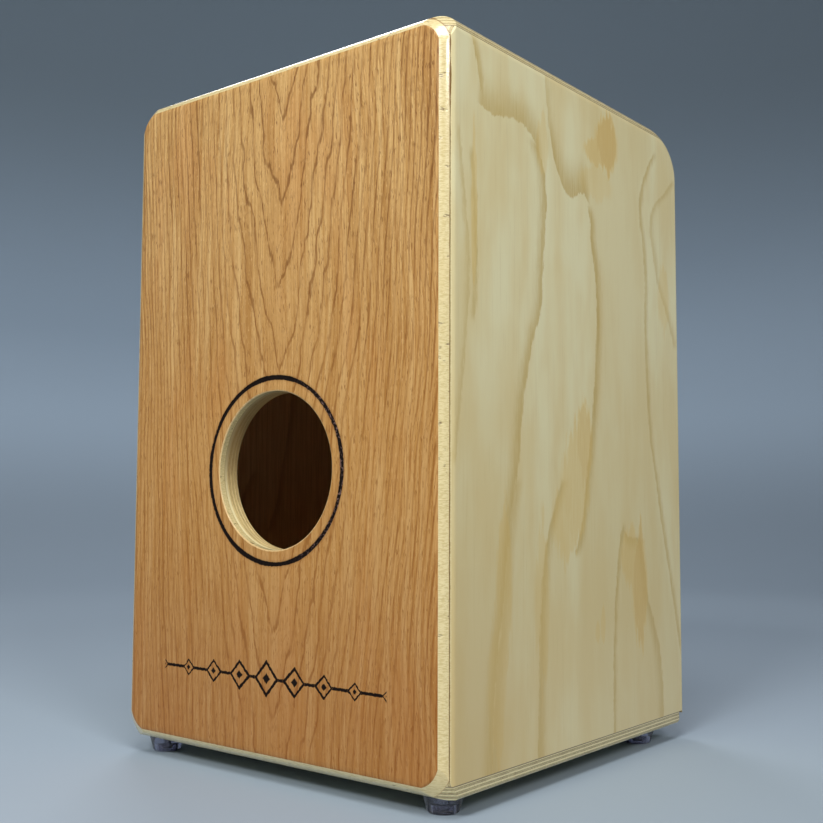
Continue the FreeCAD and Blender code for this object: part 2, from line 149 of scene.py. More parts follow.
class Shade:
    """The shader of one material."""

    def __init__(self, name):
        self.material = bpy.data.materials.new(name)
        self.material.use_nodes = True
        self.tree = self.material.node_tree
        self.surface = self.tree.nodes["Principled BSDF"]
        coordinates = self.node("ShaderNodeTexCoord")
        scaled = self.node("ShaderNodeVectorMath", operation="SCALE")
        self.tree.links.new(coordinates.outputs["Object"], scaled.inputs[0])
        scaled.inputs["Scale"].default_value = PER_MM
        split = self.node("ShaderNodeSeparateXYZ")
        self.tree.links.new(scaled.outputs[0], split.inputs[0])
        self.x, self.y, self.z = (Field(self, output) for output in split.outputs)

    def node(self, kind, **settings):
        made = self.tree.nodes.new(kind)
        for name, value in settings.items():
            setattr(made, name, value)
        return made

    def feed(self, socket, value):
        if isinstance(value, Field):
            self.tree.links.new(value.socket, socket)
        else:
            socket.default_value = value

    def math(self, operation, *values):
        node = self.node("ShaderNodeMath", operation=operation)
        for socket, value in zip(node.inputs, values):
            self.feed(socket, value)
        return Field(self, node.outputs[0])

    def noise(self, place, size, detail=2.0, rough=0.5, shift=0.0):
        """Noise from 0 to 1 at place = (x, y, z), with features as long as size along each axis."""
        joined = self.node("ShaderNodeCombineXYZ")
        for socket, along, length in zip(joined.inputs, place, size):
            self.feed(socket, along / length + shift if isinstance(along, Field) else along)
        node = self.node("ShaderNodeTexNoise")
        self.tree.links.new(joined.outputs[0], node.inputs["Vector"])
        node.inputs["Scale"].default_value = 1.0
        node.inputs["Detail"].default_value = detail
        node.inputs["Roughness"].default_value = rough
        return Field(self, node.outputs["Fac"])

    def curve(self, fraction, points):
        """A smooth curve through points, whose values and results both run from 0 to 1."""
        node = self.node("ShaderNodeFloatCurve")
        node.mapping.extend = "HORIZONTAL"
        line = node.mapping.curves[0]
        while len(line.points) < len(points):
            line.points.new(0.5, 0.5)
        for point, place in zip(line.points, points):
            point.location = place
        node.mapping.update()
        self.feed(node.inputs["Value"], fraction)
        return Field(self, node.outputs[0])

    def mix(self, factor, first, second):
        """The first colour where factor is 0, the second where it is 1."""
        node = self.node("ShaderNodeMix", data_type="RGBA", clamp_factor=True)
        self.feed(node.inputs["Factor"], factor)
        colours = [socket for socket in node.inputs if socket.type == "RGBA"]
        self.feed(colours[0], first)
        self.feed(colours[1], second)
        return Field(self, [socket for socket in node.outputs if socket.type == "RGBA"][0])

    def facing(self, axis):
        """How squarely the surface faces along an axis: 1 on a face across it, 0 on an edge."""
        geometry = self.node("ShaderNodeNewGeometry")
        split = self.node("ShaderNodeSeparateXYZ")
        self.tree.links.new(geometry.outputs["True Normal"], split.inputs[0])
        return Field(self, split.outputs[axis]).abs()

    def finish(self, colour, roughness, height=None, relief=0.1, **uniform):
        """Wires the surface. height is in units of relief, which is in millimetres. uniform holds
        values set on the surface, named as their sockets with _ for each space."""
        self.feed(self.surface.inputs["Base Color"], colour)
        self.feed(self.surface.inputs["Roughness"], roughness)
        for name, value in uniform.items():
            self.surface.inputs[name.replace("_", " ")].default_value = value
        if height is not None:
            bump = self.node("ShaderNodeBump")
            bump.inputs["Distance"].default_value = relief / PER_MM
            self.feed(bump.inputs["Height"], height)
            self.tree.links.new(bump.outputs["Normal"], self.surface.inputs["Normal"])
        return self.material


LACQUER = {"Coat_Weight": 0.55, "Coat_Roughness": 0.12, "Coat_IOR": 1.5}


# ---------------------------------------------------------------- face veneer
RING_PITCH = 17.5             # between the main growth lines, where the figure is widest
RING_LEAN = 0.30              # how fast the lines close in towards the pith, going down
RING_CROWDING = 0.0125        # how much closer the lines stand towards the edges


def veneer_colour(shade, across, up, pith_x, shift):
    """Open-pored veneer cut beside the pith: its growth lines close in narrow Vs that point down
    and crowd together towards both edges. Returns the colour and the height of the surface."""
    drop = Z_TOP - up
    drift = shade.noise((across, 0.0, up), (60, 1, 190), 1.0, shift=shift) - 0.5
    sway = across + drift * 22.0
    place = (sway, 0.0, up)
    fibre = shade.noise(place, (1.2, 1, 16), 3.0, 0.65, shift=shift) - 0.5
    calm = (across - pith_x).abs().smooth(80, 20)
    waver = (shade.noise(place, (15, 1, 40), 2.0, 0.5, shift=shift + 2) - 0.5) * (calm * 14.0 + 3.0)
    aside = sway - pith_x + drop * 0.012 + waver
    aside = (aside * aside + 5.0).sqrt()
    crowd = aside * RING_CROWDING * 2.0 + 0.8
    phase = aside * 0.8 + aside * aside * RING_CROWDING + drop * RING_LEAN + fibre * 4.5
    ring = (phase / RING_PITCH + 0.706 + shift).fraction()
    broken = shade.noise(place, (7, 1, 34), 3.0, 0.7, shift=shift + 3)
    band = shade.noise(place, (9, 1, 260), 3.0, 0.6, shift=shift + 11)
    near_line = (ring - 0.5).abs() * RING_PITCH / crowd
    line = (near_line - calm * 0.25).smooth(0.95, 0.2) * (0.40 + 0.60 * broken.smooth(0.38, 0.52))
    line = line * (0.40 + 0.60 * band.smooth(0.44, 0.60).larger(calm))
    beside = ((ring - 0.64).abs() * RING_PITCH / crowd).smooth(0.8, 0.2) * broken.smooth(0.54, 0.44)
    between = ((ring - 0.02).abs() * RING_PITCH / crowd).smooth(0.8, 0.2) * broken.smooth(0.48, 0.60)
    late_wood = ring.smooth(0.12, 0.5) * ring.smooth(0.56, 0.5)
    streak = shade.noise(place, (2.0, 1, 120), 4.0, 0.70, shift=shift + 7)
    hair = shade.noise(place, (1.0, 1, 34), 3.0, 0.72, shift=shift + 8).smooth(0.50, 0.64)
    hair = hair * (0.75 - calm * 0.35) * (0.4 + 0.6 * broken.smooth(0.60, 0.44))
    cloud = shade.noise(place, (38, 1, 120), 2.0, 0.5, shift=shift + 5)
    pores = shade.noise(place, (0.85, 1, 7.0), 2.0, 0.6, shift=shift).smooth(0.56, 0.64)
    pores = pores * (0.34 + 0.66 * broken.smooth(0.42, 0.56).larger(line))
    flecks = shade.noise(place, (0.8, 1, 5.0), 2.0, 0.6, shift=shift + 6).smooth(0.58, 0.68)
    colour = shade.mix(streak.smooth(0.38, 0.62), srgb(188, 142, 82), srgb(210, 168, 108))
    colour = shade.mix(band.smooth(0.47, 0.36) * 0.55, colour, srgb(224, 186, 126))
    colour = shade.mix(band.smooth(0.53, 0.64) * 0.50, colour, srgb(168, 120, 62))
    colour = shade.mix(hair, colour, srgb(146, 98, 48))
    colour = shade.mix(flecks * 0.44, colour, srgb(234, 194, 134))
    colour = shade.mix(cloud.smooth(0.48, 0.70) * 0.26, colour, srgb(192, 128, 70))
    colour = shade.mix(late_wood * (0.10 + calm * 0.16), colour, srgb(158, 106, 54))
    colour = shade.mix(beside.larger(between) * 0.30, colour, srgb(136, 88, 42))
    colour = shade.mix(line * 0.70, colour, srgb(116, 72, 32))
    colour = shade.mix(pores * 0.68, colour, srgb(108, 62, 26))
    # Painted shade: the veneer darkens towards the bottom, with a warmer tone there.
    colour = shade.mix(drop.smooth(40, 300) * 0.34, colour, srgb(172, 106, 8))
    colour = shade.mix(drop.smooth(260, 480) * 0.36, colour, srgb(140, 74, 12))
    height = 1.0 - pores * 0.8 - line * 0.25 + streak * 0.15
    return colour, height


ORNAMENT_REACH = 106.0        # from the middle of the chain to each end
ORNAMENT_PITCH = 26.5         # from one diamond to the next
ORNAMENT_HEIGHT = 57.0        # above the underside of the box


def burnt_ornament(shade, x, z, middle_z):
    """A plain chain of diamonds that shrink away from the middle, on one stroke."""
    out = x.abs()
    taper = (1.0 - out / ORNAMENT_REACH).larger(0.0)
    rough_x = x + (shade.noise((x, 0.0, z), (2.2, 1, 2.2), 3.0) - 0.5) * 1.8
    rough_z = z + (shade.noise((x, 0.0, z), (2.2, 1, 2.2), 3.0, shift=9) - 0.5) * 1.8
    rise = (rough_z - middle_z).abs()
    cell = ((rough_x.abs() / ORNAMENT_PITCH + 0.5).fraction() - 0.5).abs() * ORNAMENT_PITCH
    size = 4.0 + 9.0 * taper
    diamond = (cell + rise) / size
    outline = diamond.line(0.84, 0.10, 0.05)
    dot = diamond.smooth(0.34, 0.24)
    stroke = rise.smooth(1.3, 0.8) * diamond.smooth(0.9, 1.0)
    inside = out.smooth(ORNAMENT_REACH, ORNAMENT_REACH - 1.0)
    return outline.larger(dot).larger(stroke) * inside


def back_veneer_material():
    shade = Shade("back_veneer_lacquered")
    colour, height = veneer_colour(shade, shade.x, shade.z, 10.0, 0.0)
    place = (shade.x, 0.0, shade.z)
    wobble = shade.noise(place, (2.2, 1, 2.2), 3.0, 0.65) - 0.5
    drift = shade.noise(place, (44, 1, 44), 1.0, shift=4) - 0.5
    wide = shade.noise(place, (42, 1, 42), 1.0, shift=14) - 0.5
    aside, rise = shade.x - HOLE_X, shade.z - HOLE_Z
    radius = (aside * aside + rise * rise).sqrt()
    off_line = (radius + wobble * 1.3 + drift * 0.6 - BURNT_RADIUS).abs() - wide * 2.0
    burnt = off_line.smooth(1.75, 1.35)
    scorch = (radius - BURNT_RADIUS).abs().smooth(3.4, 1.2)
    ash = shade.noise(place, (1.9, 1, 1.9), 3.0, shift=2).smooth(0.53, 0.64)
    ashy_side = aside.smooth(15, 50) * ash * radius.smooth(74, 70)
    ornament = burnt_ornament(shade, shade.x, shade.z, Z_BOTTOM + ORNAMENT_HEIGHT)
    mark = burnt.larger(ornament)
    colour = shade.mix(scorch * 0.35, colour, srgb(120, 74, 38))
    char = shade.mix(ash * 0.08, srgb(4, 1, 2), srgb(60, 38, 38))
    char = shade.mix(ashy_side * 0.50, char, srgb(150, 118, 112))
    colour = shade.mix(mark * 0.985, colour, char)
    # The eased edge round the hole is paler: partly its own pale cut edge, partly a painted highlight.
    eased_rim_and_highlight = shade.facing(1).smooth(0.985, 0.93)
    colour = shade.mix(eased_rim_and_highlight * radius.smooth(60, 58) * 0.5, colour, srgb(238, 214, 160))
    roughness = shade.math("MULTIPLY_ADD", mark, 0.25, 0.45)
    shade.feed(shade.surface.inputs["Coat Weight"], 0.42 - mark * 0.41)
    return shade.finish(colour, roughness, height - mark * 1.5, 0.05,
                        Coat_Roughness=0.20, Coat_IOR=1.5, Specular_IOR_Level=0.12)


def tapa_veneer_material():
    shade = Shade("tapa_veneer_lacquered")
    colour, height = veneer_colour(shade, shade.x, shade.z, -16.0, 0.4)
    return shade.finish(colour, 0.45, height, 0.05, Coat_Weight=0.42, Coat_Roughness=0.20,
                        Coat_IOR=1.5, Specular_IOR_Level=0.12)


# ---------------------------------------------------------------- pine plywood
def pine_face(shade, across, up, shift):
    """Rotary-cut pine without its large figure: pale, with faint long fibres. Colour and height."""
    fibres = shade.noise((across, 0.0, up), (0.9, 1, 38), 3.0, 0.6, shift=shift)
    cloud = shade.noise((across, 0.0, up), (40, 1, 150), 3.0, 0.55, shift=shift + 2)
    streak = shade.noise((across, 0.0, up), (3.2, 1, 120), 3.0, 0.6, shift=shift + 4)
    colour = shade.mix(cloud.smooth(0.36, 0.66), srgb(240, 229, 182), srgb(232, 212, 156))
    colour = shade.mix(streak.smooth(0.54, 0.76) * 0.22, colour, srgb(208, 184, 126))
    colour = shade.mix(fibres.smooth(0.56, 0.72) * 0.16, colour, srgb(190, 164, 106))
    return colour, fibres * 0.5 + streak * 0.5


# Growth lines of a side board: where each runs, as (drop from the top, distance from the back), the
# half-width of its core, how far it fades, its darkness, and the side it fades to.
LINE_A = ((60, 100), (72, 108), (90, 113), (113, 112), (150, 108), (173, 106), (193, 97), (220, 88),
          (247, 82), (277, 78), (300, 72), (333, 65), (367, 60), (400, 53), (478, 47))
LINE_B = ((90, 171), (100, 174), (113, 175), (133, 180), (167, 183), (197, 181), (230, 177), (260, 172),
          (283, 167), (317, 160), (340, 150))
LINE_C = ((25, 277), (43, 263), (67, 252), (83, 252), (100, 256), (127, 259), (167, 258), (207, 260),
          (240, 263), (263, 267), (283, 273), (320, 283), (360, 295), (400, 307), (425, 314))
LINE_D = ((40, 310), (55, 293), (67, 277), (80, 270), (110, 275), (133, 283), (150, 295), (178, 309))
SIDE_LINES = (
    (LINE_A, 1.6, 16.0, 0.85, -1.0),
    (LINE_B, 1.8, 13.0, 0.95, 1.0),
    (LINE_C, 2.0, 9.0, 0.78, 1.0),
    (LINE_D, 2.6, 12.0, 0.55, 1.0),
    (((8, 113), (37, 117), (63, 124)), 1.6, 12.0, 0.50, 1.0),
    (((10, 27), (27, 33), (51, 38)), 1.6, 10.0, 0.80, 1.0),
    (((83, 27), (120, 30), (150, 31), (190, 29)), 2.6, 7.0, 0.70, -1.0),
    (((72, 13), (110, 18), (150, 23), (200, 20), (250, 13), (280, 9)), 1.6, 7.0, 0.50, -1.0),
    (((322, 219), (340, 213), (367, 208), (400, 204), (433, 203), (478, 202)), 1.5, 8.0, 0.90, 1.0),
    (((331, 246), (353, 252), (377, 257), (397, 267), (420, 276), (478, 281)), 1.8, 16.0, 0.80, -1.0),
    (((290, 132), (310, 122), (333, 112), (380, 105), (420, 103), (478, 101)), 2.6, 14.0, 0.85, 1.0),
    (((290, 74), (330, 66), (375, 60), (420, 52), (478, 48)), 3.0, 15.0, 0.65, 1.0),
)
# The same for lines that cross the board: (distance from the back, drop from the top).
CROSSING_LINES = (
    (((34, 51), (50, 54), (62, 52), (76, 50), (90, 53), (100, 60), (108, 72)), 1.4, 34.0, 0.75, -1.0),
    (((118, 42), (124, 64), (131, 76), (143, 87), (152, 86), (163, 81), (172, 88)), 1.6, 40.0, 0.85, -1.0),
    (((219, 322), (226, 330), (236, 332), (248, 333)), 1.2, 14.0, 0.75, 1.0),
)
# Resin-stained patches: middle (drop, distance from the back), half-lengths, darkness.
SIDE_STAINS = (
    ((36, 201), (25, 15), 1.00), ((47, 183), (11, 14), 0.80),
    ((262, 164), (34, 10), 0.85), ((292, 152), (44, 17), 0.75), ((318, 138), (30, 15), 0.65),
    ((368, 246), (50, 11), 0.95), ((345, 233), (24, 15), 0.75), ((392, 188), (15, 3), 0.60),
    ((397, 180), (8, 3), 0.55), ((140, 292), (30, 9), 0.50), ((370, 107), (60, 8), 0.50),
    ((360, 62), (60, 8), 0.65), ((420, 54), (50, 9), 0.60), ((120, 29), (60, 3), 0.60),
    ((60, 110), (24, 7), 0.45), ((70, 185), (14, 22), 0.35),
)


BOARD_REACH = 500.0           # the lines' own coordinates run from 0 to 1 over this many mm
LEFT_BOARD_ACROSS, LEFT_BOARD_UP = 14.0, 9.0    # how far the left board's figure is shifted, in mm


def course(shade, along, points):
    """Where a growth line runs, in millimetres, at each place along it."""
    scaled = [(at / BOARD_REACH, aside / BOARD_REACH) for at, aside in points]
    return shade.curve(along / BOARD_REACH, scaled) * BOARD_REACH


def grain_line(shade, along, aside, line, frayed):
    """One growth line: dark on its course, with a sharp side and one that fades out."""
    points, core, fade, strength, flip = line
    first, last, end = points[0][0], points[-1][0], 4.0
    away = (aside - course(shade, along, points)) * flip + frayed
    mark = away.smooth(-core, core * 0.2) * away.smooth(fade, 0.0).power(1.6)
    within = (along - (first + last) / 2).abs().smooth((last - first) / 2 + end, (last - first) / 2 - end)
    return mark * within * strength


def stain(shade, across, drop, patch, frayed):
    """A resin-stained patch: it frays out along the grain, and is a little steeper on one side."""
    middle, half, strength = patch
    low = (drop - middle[0]) / half[0] + frayed
    wide = (across - middle[1]) / half[1]
    return (low * low + wide.abs() * 0.9 + wide * 0.1).smooth(1.25, 0.75) * strength


def side_figure(shade, across, drop):
    """The figure of a side board: the darkness of its growth lines, and of its resin stains."""
    place = (shade.y, 0.0, shade.z)
    rough = (shade.noise(place, (2.6, 1, 12), 3.0, 0.68, shift=3) - 0.5) * 8.0
    ragged = (shade.noise(place, (3.5, 1, 22), 3.0, 0.62, shift=6) - 0.5) * 1.5
    fibres = shade.noise(place, (1.5, 1, 34), 3.0, 0.68, shift=9) * 1.3 + 0.25
    lines = None
    for line in SIDE_LINES:
        mark = grain_line(shade, drop, across, line, rough)
        lines = mark if lines is None else lines.larger(mark)
    for line in CROSSING_LINES:
        lines = lines.larger(grain_line(shade, across, drop, line, rough))
    stains = None
    for patch in SIDE_STAINS:
        mark = stain(shade, across, drop, patch, ragged)
        stains = mark if stains is None else stains.larger(mark)
    return lines * fibres, stains * (fibres * 0.5 + 0.5)


def side_zones(shade, across, drop):
    """How much yellower the wood is on one side of a growth line than on the other."""
    left_of_a = (across - course(shade, drop, LINE_A)).smooth(6.0, -6.0) * drop.smooth(150, 260)
    right_of_b = (across - course(shade, drop, LINE_B)).smooth(-3.0, 8.0)
    left_of_c = (across - course(shade, drop, LINE_C)).smooth(3.0, -8.0)
    return (left_of_a * 0.5).larger(right_of_b * left_of_c * 0.8)


def ply_stripes(depth, thickness, plies=PLIES):
    """Which plies show their end grain at a depth in the board, and where the glue lines are."""
    layer = depth / (thickness / plies)
    cross = (layer * 0.5).fraction().smooth(0.46, 0.54)
    glue = (layer.fraction() - 0.5).abs().smooth(0.40, 0.49)
    return cross, glue


def ply_edge(shade, depth, thickness, fibre_place, fibre_size, plies=PLIES):
    """The cut edge of plywood: pale long-grain plies and rougher brown end-grain ones."""
    fibres = shade.noise(fibre_place, fibre_size, 3.0, 0.65, shift=1.7)
    gaps = shade.noise(fibre_place, [size * 9 for size in fibre_size], 2.0, 0.6, shift=8.1)
    cross, glue = ply_stripes(depth + (gaps - 0.5) * 0.35, thickness, plies)
    pale = shade.mix(fibres.smooth(0.40, 0.70), srgb(236, 222, 172), srgb(212, 190, 134))
    brown = shade.mix(fibres.smooth(0.42, 0.62), srgb(172, 150, 96), srgb(118, 94, 50))
    colour = shade.mix(cross * (0.36 + 0.60 * gaps), pale, brown)
    colour = shade.mix(glue * (0.45 + 0.55 * gaps.smooth(0.38, 0.56)), colour, srgb(76, 52, 24))
    return colour, 1.0 - cross * 0.5 * fibres - glue * 0.3


def seam_shadow(shade, colour):
    """The brown, slightly ragged glue line round the back panel, pale again near its ends."""
    place = (shade.x, shade.y, shade.z)
    ragged = shade.noise(place, (6, 6, 6), 3.0, 0.6, shift=5.5) - 0.5
    broken = shade.noise(place, (26, 26, 26), 2.0, 0.6, shift=2.5)
    wide_top = shade.z.smooth(Z_TOP - 90, Z_TOP - 20) * broken.smooth(0.40, 0.60) * 0.7
    line = (shade.y - Y_SEAM + ragged * 0.5 - 0.1).abs() - wide_top
    line = line.smooth(0.50, 0.20) * shade.z.smooth(Z_BOTTOM + 12, Z_BOTTOM + 22)
    return shade.mix(line * (0.65 + 0.35 * broken.smooth(0.35, 0.6)), colour, srgb(140, 104, 46))


def side_board_material():
    shade = Shade("side_board_lacquered")
    left_board = shade.x.smooth(1.0, -1.0)
    across = shade.y - Y_BACK + left_board * LEFT_BOARD_ACROSS
    drop = Z_TOP - shade.z + left_board * LEFT_BOARD_UP
    lines, stains = side_figure(shade, across, drop)
    colour, height = pine_face(shade, shade.y, shade.z, 0.0)
    colour = shade.mix(side_zones(shade, across, drop) * 0.5, colour, srgb(226, 204, 146))
    colour = shade.mix(lines * 0.90, colour, srgb(200, 168, 90))
    colour = shade.mix(stains * 0.70, colour, srgb(232, 196, 112))
    colour = shade.mix(stains.smooth(0.62, 1.0) * 0.22, colour, srgb(196, 144, 66))
    # Painted shade: the side board is darker and warmer towards the bottom, most at its lower back corner.
    corner = drop.smooth(200, 480) * across.smooth(150, 20)
    colour = shade.mix(drop.smooth(120, 480) * 0.26 + corner * 0.34, colour, srgb(204, 168, 96))
    depth = HALF_WIDTH - shade.x.abs()
    edge, _ = ply_edge(shade, depth, BOARD, (shade.x, shade.y, shade.z), (9, 2, 0.6))
    colour = shade.mix(depth.smooth(0.55, 1.3), colour, edge)
    inner = shade.mix(height.smooth(0.38, 0.62), srgb(234, 178, 118), srgb(208, 150, 92))
    inner = shade.mix(lines * 0.5, inner, srgb(168, 108, 56))
    colour = shade.mix(depth.smooth(BOARD - 0.2, BOARD - 0.05), colour, inner)
    colour = seam_shadow(shade, colour)
    return shade.finish(colour, 0.42, height, 0.03, **LACQUER)


def flat_board_material(name, depth_of, shift):
    """Seat and floor boards: pine faces and seven plies round the edges."""
    shade = Shade(name)
    depth = depth_of(shade)
    face, height = pine_face(shade, shade.x, shade.y, shift)
    bend = shade.noise((shade.x, shade.y, 0.0), (70, 260, 1), 1.0, shift=shift + 1)
    wave = shade.noise((shade.x, shade.y, 0.0), (3, 12, 1), 3.0, 0.65, shift=shift + 3) - 0.5
    ring = (bend * 8.0 + wave * 0.10).fraction()
    face = shade.mix(ring.smooth(0.50, 0.97) * ring.smooth(1.0, 0.975) * 0.50, face, srgb(200, 164, 104))
    edge, _ = ply_edge(shade, depth, BOARD, (shade.x, shade.y, shade.z), (1.6, 1.6, 0.35))
    joint = depth.smooth(BOARD - 0.9, BOARD - 0.35)
    edge = shade.mix(joint * 0.85, edge, srgb(92, 66, 32))
    colour = shade.mix(shade.facing(2).smooth(0.995, 0.97), face, edge)
    colour = seam_shadow(shade, colour)
    return shade.finish(colour, 0.40, height, 0.03, **LACQUER)


def seat_board_material():
    return flat_board_material("seat_board_lacquered", lambda shade: Z_TOP - shade.z, 12.0)


def floor_board_material():
    return flat_board_material("floor_board_lacquered", lambda shade: shade.z - Z_BOTTOM, 17.0)


def back_panel_material():
    """The pale rim of the back panel and the front part of the hole's wall."""
    shade = Shade("back_panel_rim")
    place = (shade.x, shade.y, shade.z)
    fibres = shade.noise(place, (5.0, 2.0, 0.55), 3.0, 0.6)
    specks = shade.noise(place, (2.0, 1.4, 1.2), 2.0, 0.6, shift=4).smooth(0.68, 0.76)
    knots = shade.noise(place, (7, 7, 5), 1.0, 0.5, shift=9).smooth(0.65, 0.72)
    colour = shade.mix(fibres.smooth(0.40, 0.66), srgb(226, 208, 156), srgb(204, 182, 124))
    colour = shade.mix(specks * 0.55, colour, srgb(150, 124, 76))
    colour = shade.mix(knots * fibres.smooth(0.46, 0.56) * 0.8, colour, srgb(96, 70, 40))
    stain_band = shade.noise((0.0, 0.0, shade.z), (1, 1, 60), 2.0, 0.5, shift=3)
    colour = shade.mix(stain_band.smooth(0.45, 0.7) * 0.25, colour, srgb(226, 202, 146))
    inner = (shade.y - Y_SEAM).smooth(-0.25, -0.05) * shade.facing(1)
    bare = shade.mix(fibres.smooth(0.36, 0.66), srgb(200, 150, 94), srgb(164, 116, 68))
    colour = shade.mix(inner, colour, bare)
    colour = seam_shadow(shade, colour)
    return shade.finish(colour, 0.34, fibres - specks - knots * 2.0, 0.06, Coat_Weight=0.9,
                        Coat_Roughness=0.10, Coat_IOR=1.5)


def hole_ring_material():
    """The ring behind the hole: pale near the panel, then golden plies with ragged fibres."""
    shade = Shade("hole_ring_plies")
    aside, rise = shade.x - HOLE_X, shade.z - HOLE_Z
    turn = shade.math("ARCTAN2", rise, aside) * HOLE_RADIUS
    inward = shade.y - Y_SEAM
    ragged = shade.noise((shade.y, turn, 0.0), (0.8, 16, 1), 3.0, 0.65)
    edge, height = ply_edge(shade, inward + ragged * 1.6, RING_HIGH.y - Y_SEAM, (shade.y, turn, 0.0),
                            (0.5, 3.0, 1.0), 9)
    golden = shade.mix(ragged.smooth(0.42, 0.58), srgb(226, 190, 112), srgb(160, 116, 50))
    colour = shade.mix(inward.smooth(1.5, 3.0) * 0.75, srgb(238, 224, 174), golden)
    colour = shade.mix(inward.smooth(2.0, 3.5) * 0.50, colour, edge)
    colour = shade.mix(inward.smooth(10.5, 12.6) * 0.6, colour, srgb(216, 196, 146))
    # Painted shade on the upper left of the hole's wall.
    shaded_upper_left = (rise - aside * 0.6).smooth(0, 60)
    outside = (rise * rise + aside * aside).sqrt().smooth(HOLE_RADIUS + 1.0, HOLE_RADIUS + 3.0)
    colour = shade.mix(outside, colour, shade.mix(ragged, srgb(214, 166, 108), srgb(150, 104, 58)))
    colour = shade.mix(shaded_upper_left * 0.70, colour, srgb(146, 108, 58))
    return shade.finish(colour, 0.55, height, 0.10, Coat_Weight=0.15, Coat_Roughness=0.25)


def tapa_board_material():
    """The tapa's thin board: light edge, reddish face towards the inside of the box."""
    shade = Shade("tapa_board")
    place = (shade.x, shade.y, shade.z)
    inside = (shade.y - Y_TAPA).smooth(0.15, 0.02) * shade.z.smooth(Z_FLOOR - 0.2, Z_FLOOR + 0.2)
    fibres = shade.noise((shade.x, 0.0, shade.z), (1.1, 1, 40), 3.0, 0.6)
    edge, height = ply_edge(shade, shade.y - Y_TAPA, Y_TAPA_SKIN - Y_TAPA, place, (2.0, 0.5, 0.6), 3)
    face = shade.mix(fibres.smooth(0.4, 0.65), srgb(228, 172, 116), srgb(198, 136, 84))
    colour = shade.mix(inside, edge, face)
    return shade.finish(colour, 0.5, height, 0.03, Coat_Weight=0.2, Coat_Roughness=0.3)


def softwood_material(name, along):
    """Planed softwood strip, with its grain along axis 0, 1 or 2. Bare wood."""
    shade = Shade(name)
    place = (shade.x, shade.y, shade.z)
    size = [1.6, 1.6, 1.6]
    size[along] = 90.0
    wide = [7.0, 7.0, 7.0]
    wide[along] = 260.0
    grain = shade.noise(place, size, 3.0, 0.6)
    rings = (shade.noise(place, wide, 1.0, 0.5, shift=6) * 7.0).fraction()
    colour = shade.mix(grain.smooth(0.35, 0.68), srgb(222, 186, 130), srgb(196, 154, 98))
    colour = shade.mix(rings.smooth(0.45, 0.92) * rings.smooth(1.0, 0.95) * 0.5, colour, srgb(164, 118, 66))
    return shade.finish(colour, 0.72, grain, 0.06)


# ---------------------------------------------------------------- rubber and metal
THREAD_PITCH, WINDING_PITCH = 0.8, 0.36
THREAD_START = 6.0            # just over a tension screw's head, above the underside of the box


def clear_rubber_material():
    shade = Shade("clear_rubber")
    cloud = shade.noise((shade.x, shade.y, shade.z), (5, 5, 5), 2.0)
    dust = shade.noise((shade.x, shade.y, shade.z), (0.9, 0.9, 0.9), 3.0, 0.7).smooth(0.55, 0.75)
    colour = shade.mix(cloud.smooth(0.3, 0.7), srgb(188, 184, 198), srgb(162, 158, 176))
    roughness = shade.math("MULTIPLY_ADD", dust, 0.22, 0.08)
    return shade.finish(colour, roughness, cloud, 0.05, Transmission_Weight=0.92, IOR=1.45)


def zinc_material():
    shade = Shade("zinc_plate")
    spangle = shade.noise((shade.x, shade.y, shade.z), (1.5, 1.5, 1.5), 3.0, 0.6)
    colour = shade.mix(spangle.smooth(0.35, 0.65), srgb(206, 206, 200), srgb(176, 178, 176))
    roughness = shade.math("MULTIPLY_ADD", spangle, 0.25, 0.20)
    return shade.finish(colour, roughness, spangle, 0.02, Metallic=1.0)


def black_oxide_material():
    shade = Shade("black_oxide")
    wear = shade.noise((shade.x, shade.y, shade.z), (1.2, 1.2, 0.4), 3.0, 0.7).smooth(0.60, 0.78)
    turns = ((shade.z / THREAD_PITCH).fraction() - 0.5).abs()
    above_head = (shade.z - Z_BOTTOM).smooth(THREAD_START - 0.2, THREAD_START + 0.2)
    colour = shade.mix(wear, srgb(38, 38, 42), srgb(104, 102, 100))
    return shade.finish(colour, 0.36, turns * above_head, 0.5, Metallic=0.9)


def brass_material():
    shade = Shade("brass")
    brushed = shade.noise((shade.x, shade.y, shade.z), (9, 0.25, 0.25), 2.0)
    tarnish = shade.noise((shade.x, shade.y, shade.z), (6, 6, 6), 3.0, 0.6)
    colour = shade.mix(tarnish.smooth(0.40, 0.70), srgb(222, 186, 110), srgb(170, 130, 70))
    roughness = shade.math("MULTIPLY_ADD", tarnish, 0.25, 0.18)
    return shade.finish(colour, roughness, brushed, 0.02, Metallic=1.0)


def wound_string_material():
    shade = Shade("wound_string")
    winding = ((shade.z / WINDING_PITCH).fraction() - 0.5).abs() * 2.0
    # Painted shade: darker in the grooves between the turns of the winding.
    colour = shade.mix(winding, srgb(206, 190, 160), srgb(128, 112, 90))
    return shade.finish(colour, 0.28, 1.0 - winding, 0.12, Metallic=1.0)


# ---------------------------------------------------------------- dressing the CAD nodes
def dress(material, *nodes):
    for name in nodes:
        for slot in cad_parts[name].material_slots:
            slot.material = material


